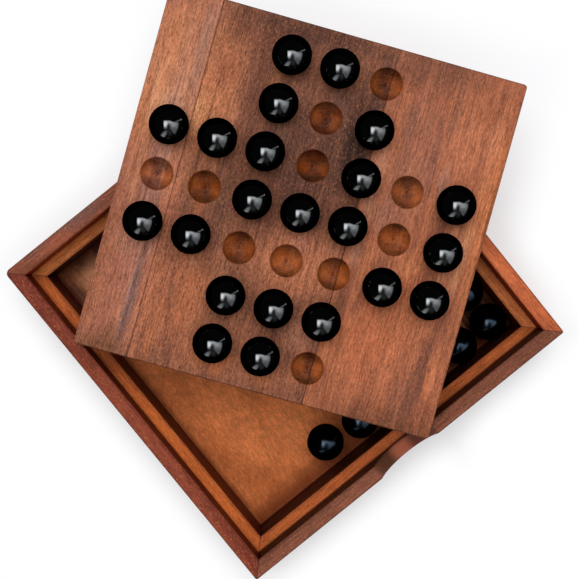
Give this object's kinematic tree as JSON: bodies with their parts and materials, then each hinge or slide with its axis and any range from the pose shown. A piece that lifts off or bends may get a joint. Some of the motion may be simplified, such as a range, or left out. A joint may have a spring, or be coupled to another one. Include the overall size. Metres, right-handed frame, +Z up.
{
  "type": "peg solitaire board",
  "caption": "Square wooden peg solitaire set: a dimpled lid board lies askew on its mitred tray box, black glass marbles in the dimples and in the tray.",
  "frame": {"origin": "centre of the box's flat underside", "axes": "+Z up; -Y is the rail with the finger notch, +X is to the right seen from that rail"},
  "size_m": [0.1857, 0.1836, 0.0518],
  "materials": {
    "rail_wood": "satin reddish brown",
    "ledge_wood": "satin light orange",
    "floor_plywood": "satin mottled veneer",
    "streaked_stave": "satin, grey streaks",
    "dark_stave": "satin brown",
    "light_stave": "satin orange brown",
    "black_glass": "polished, opaque"
  },
  "bodies": {
    "box": {"front_rail": "rail_wood", "right_rail": "rail_wood", "back_rail": "rail_wood", "left_rail": "rail_wood", "front_ledge_strip": "ledge_wood", "right_ledge_strip": "ledge_wood", "back_ledge_strip": "ledge_wood", "left_ledge_strip": "ledge_wood", "floor_panel": "floor_plywood"},
    "board": {"left_stave": "streaked_stave", "middle_stave": "dark_stave", "right_stave": "light_stave"},
    "board_marble_01": {"board_marble_01": "black_glass"},
    "board_marble_02": {"board_marble_02": "black_glass"},
    "board_marble_03": {"board_marble_03": "black_glass"},
    "board_marble_04": {"board_marble_04": "black_glass"},
    "board_marble_05": {"board_marble_05": "black_glass"},
    "board_marble_06": {"board_marble_06": "black_glass"},
    "board_marble_07": {"board_marble_07": "black_glass"},
    "board_marble_08": {"board_marble_08": "black_glass"},
    "board_marble_09": {"board_marble_09": "black_glass"},
    "board_marble_10": {"board_marble_10": "black_glass"},
    "board_marble_11": {"board_marble_11": "black_glass"},
    "board_marble_12": {"board_marble_12": "black_glass"},
    "board_marble_13": {"board_marble_13": "black_glass"},
    "board_marble_14": {"board_marble_14": "black_glass"},
    "board_marble_15": {"board_marble_15": "black_glass"},
    "board_marble_16": {"board_marble_16": "black_glass"},
    "board_marble_17": {"board_marble_17": "black_glass"},
    "board_marble_18": {"board_marble_18": "black_glass"},
    "board_marble_19": {"board_marble_19": "black_glass"},
    "board_marble_20": {"board_marble_20": "black_glass"},
    "board_marble_21": {"board_marble_21": "black_glass"},
    "board_marble_22": {"board_marble_22": "black_glass"},
    "tray_marble_01": {"tray_marble_01": "black_glass"},
    "tray_marble_02": {"tray_marble_02": "black_glass"},
    "tray_marble_03": {"tray_marble_03": "black_glass"},
    "tray_marble_04": {"tray_marble_04": "black_glass"},
    "tray_marble_05": {"tray_marble_05": "black_glass"},
    "tray_marble_06": {"tray_marble_06": "black_glass"},
    "tray_marble_07": {"tray_marble_07": "black_glass"},
    "tray_marble_08": {"tray_marble_08": "black_glass"},
    "tray_marble_09": {"tray_marble_09": "black_glass"},
    "tray_marble_10": {"tray_marble_10": "black_glass"}
  },
  "joints": [
    {"name": "board_lift", "type": "slide", "parent": "box", "child": "board", "axis": [0, 0, 1], "range_m": [0, 0.06]},
    {"name": "board_marble_01_lift", "type": "slide", "parent": "board", "child": "board_marble_01", "axis": [0, 0, 1], "range_m": [0, 0.03]},
    {"name": "board_marble_02_lift", "type": "slide", "parent": "board", "child": "board_marble_02", "axis": [0, 0, 1], "range_m": [0, 0.03]},
    {"name": "board_marble_03_lift", "type": "slide", "parent": "board", "child": "board_marble_03", "axis": [0, 0, 1], "range_m": [0, 0.03]},
    {"name": "board_marble_04_lift", "type": "slide", "parent": "board", "child": "board_marble_04", "axis": [0, 0, 1], "range_m": [0, 0.03]},
    {"name": "board_marble_05_lift", "type": "slide", "parent": "board", "child": "board_marble_05", "axis": [0, 0, 1], "range_m": [0, 0.03]},
    {"name": "board_marble_06_lift", "type": "slide", "parent": "board", "child": "board_marble_06", "axis": [0, 0, 1], "range_m": [0, 0.03]},
    {"name": "board_marble_07_lift", "type": "slide", "parent": "board", "child": "board_marble_07", "axis": [0, 0, 1], "range_m": [0, 0.03]},
    {"name": "board_marble_08_lift", "type": "slide", "parent": "board", "child": "board_marble_08", "axis": [0, 0, 1], "range_m": [0, 0.03]},
    {"name": "board_marble_09_lift", "type": "slide", "parent": "board", "child": "board_marble_09", "axis": [0, 0, 1], "range_m": [0, 0.03]},
    {"name": "board_marble_10_lift", "type": "slide", "parent": "board", "child": "board_marble_10", "axis": [0, 0, 1], "range_m": [0, 0.03]},
    {"name": "board_marble_11_lift", "type": "slide", "parent": "board", "child": "board_marble_11", "axis": [0, 0, 1], "range_m": [0, 0.03]},
    {"name": "board_marble_12_lift", "type": "slide", "parent": "board", "child": "board_marble_12", "axis": [0, 0, 1], "range_m": [0, 0.03]},
    {"name": "board_marble_13_lift", "type": "slide", "parent": "board", "child": "board_marble_13", "axis": [0, 0, 1], "range_m": [0, 0.03]},
    {"name": "board_marble_14_lift", "type": "slide", "parent": "board", "child": "board_marble_14", "axis": [0, 0, 1], "range_m": [0, 0.03]},
    {"name": "board_marble_15_lift", "type": "slide", "parent": "board", "child": "board_marble_15", "axis": [0, 0, 1], "range_m": [0, 0.03]},
    {"name": "board_marble_16_lift", "type": "slide", "parent": "board", "child": "board_marble_16", "axis": [0, 0, 1], "range_m": [0, 0.03]},
    {"name": "board_marble_17_lift", "type": "slide", "parent": "board", "child": "board_marble_17", "axis": [0, 0, 1], "range_m": [0, 0.03]},
    {"name": "board_marble_18_lift", "type": "slide", "parent": "board", "child": "board_marble_18", "axis": [0, 0, 1], "range_m": [0, 0.03]},
    {"name": "board_marble_19_lift", "type": "slide", "parent": "board", "child": "board_marble_19", "axis": [0, 0, 1], "range_m": [0, 0.03]},
    {"name": "board_marble_20_lift", "type": "slide", "parent": "board", "child": "board_marble_20", "axis": [0, 0, 1], "range_m": [0, 0.03]},
    {"name": "board_marble_21_lift", "type": "slide", "parent": "board", "child": "board_marble_21", "axis": [0, 0, 1], "range_m": [0, 0.03]},
    {"name": "board_marble_22_lift", "type": "slide", "parent": "board", "child": "board_marble_22", "axis": [0, 0, 1], "range_m": [0, 0.03]},
    {"name": "tray_marble_01_roll", "type": "slide", "parent": "box", "child": "tray_marble_01", "axis": [-1, 0, 0], "range_m": [0, 0.032]},
    {"name": "tray_marble_02_roll", "type": "slide", "parent": "box", "child": "tray_marble_02", "axis": [0, 1, 0], "range_m": [0, 0.1]},
    {"name": "tray_marble_03_roll", "type": "slide", "parent": "box", "child": "tray_marble_03", "axis": [-1, 0, 0], "range_m": [0, 0.018]},
    {"name": "tray_marble_04_lift", "type": "slide", "parent": "box", "child": "tray_marble_04", "axis": [0, 0, 1], "range_m": [0, 0.04]},
    {"name": "tray_marble_05_lift", "type": "slide", "parent": "box", "child": "tray_marble_05", "axis": [0, 0, 1], "range_m": [0, 0.04]},
    {"name": "tray_marble_06_roll", "type": "slide", "parent": "box", "child": "tray_marble_06", "axis": [0, 1, 0], "range_m": [0, 0.08]},
    {"name": "tray_marble_07_roll", "type": "slide", "parent": "box", "child": "tray_marble_07", "axis": [0, 1, 0], "range_m": [0, 0.08]},
    {"name": "tray_marble_08_roll", "type": "slide", "parent": "box", "child": "tray_marble_08", "axis": [0, 1, 0], "range_m": [0, 0.08]},
    {"name": "tray_marble_09_roll", "type": "slide", "parent": "box", "child": "tray_marble_09", "axis": [0, 1, 0], "range_m": [0, 0.08]},
    {"name": "tray_marble_10_roll", "type": "slide", "parent": "box", "child": "tray_marble_10", "axis": [0, 1, 0], "range_m": [0, 0.06]}
  ]
}
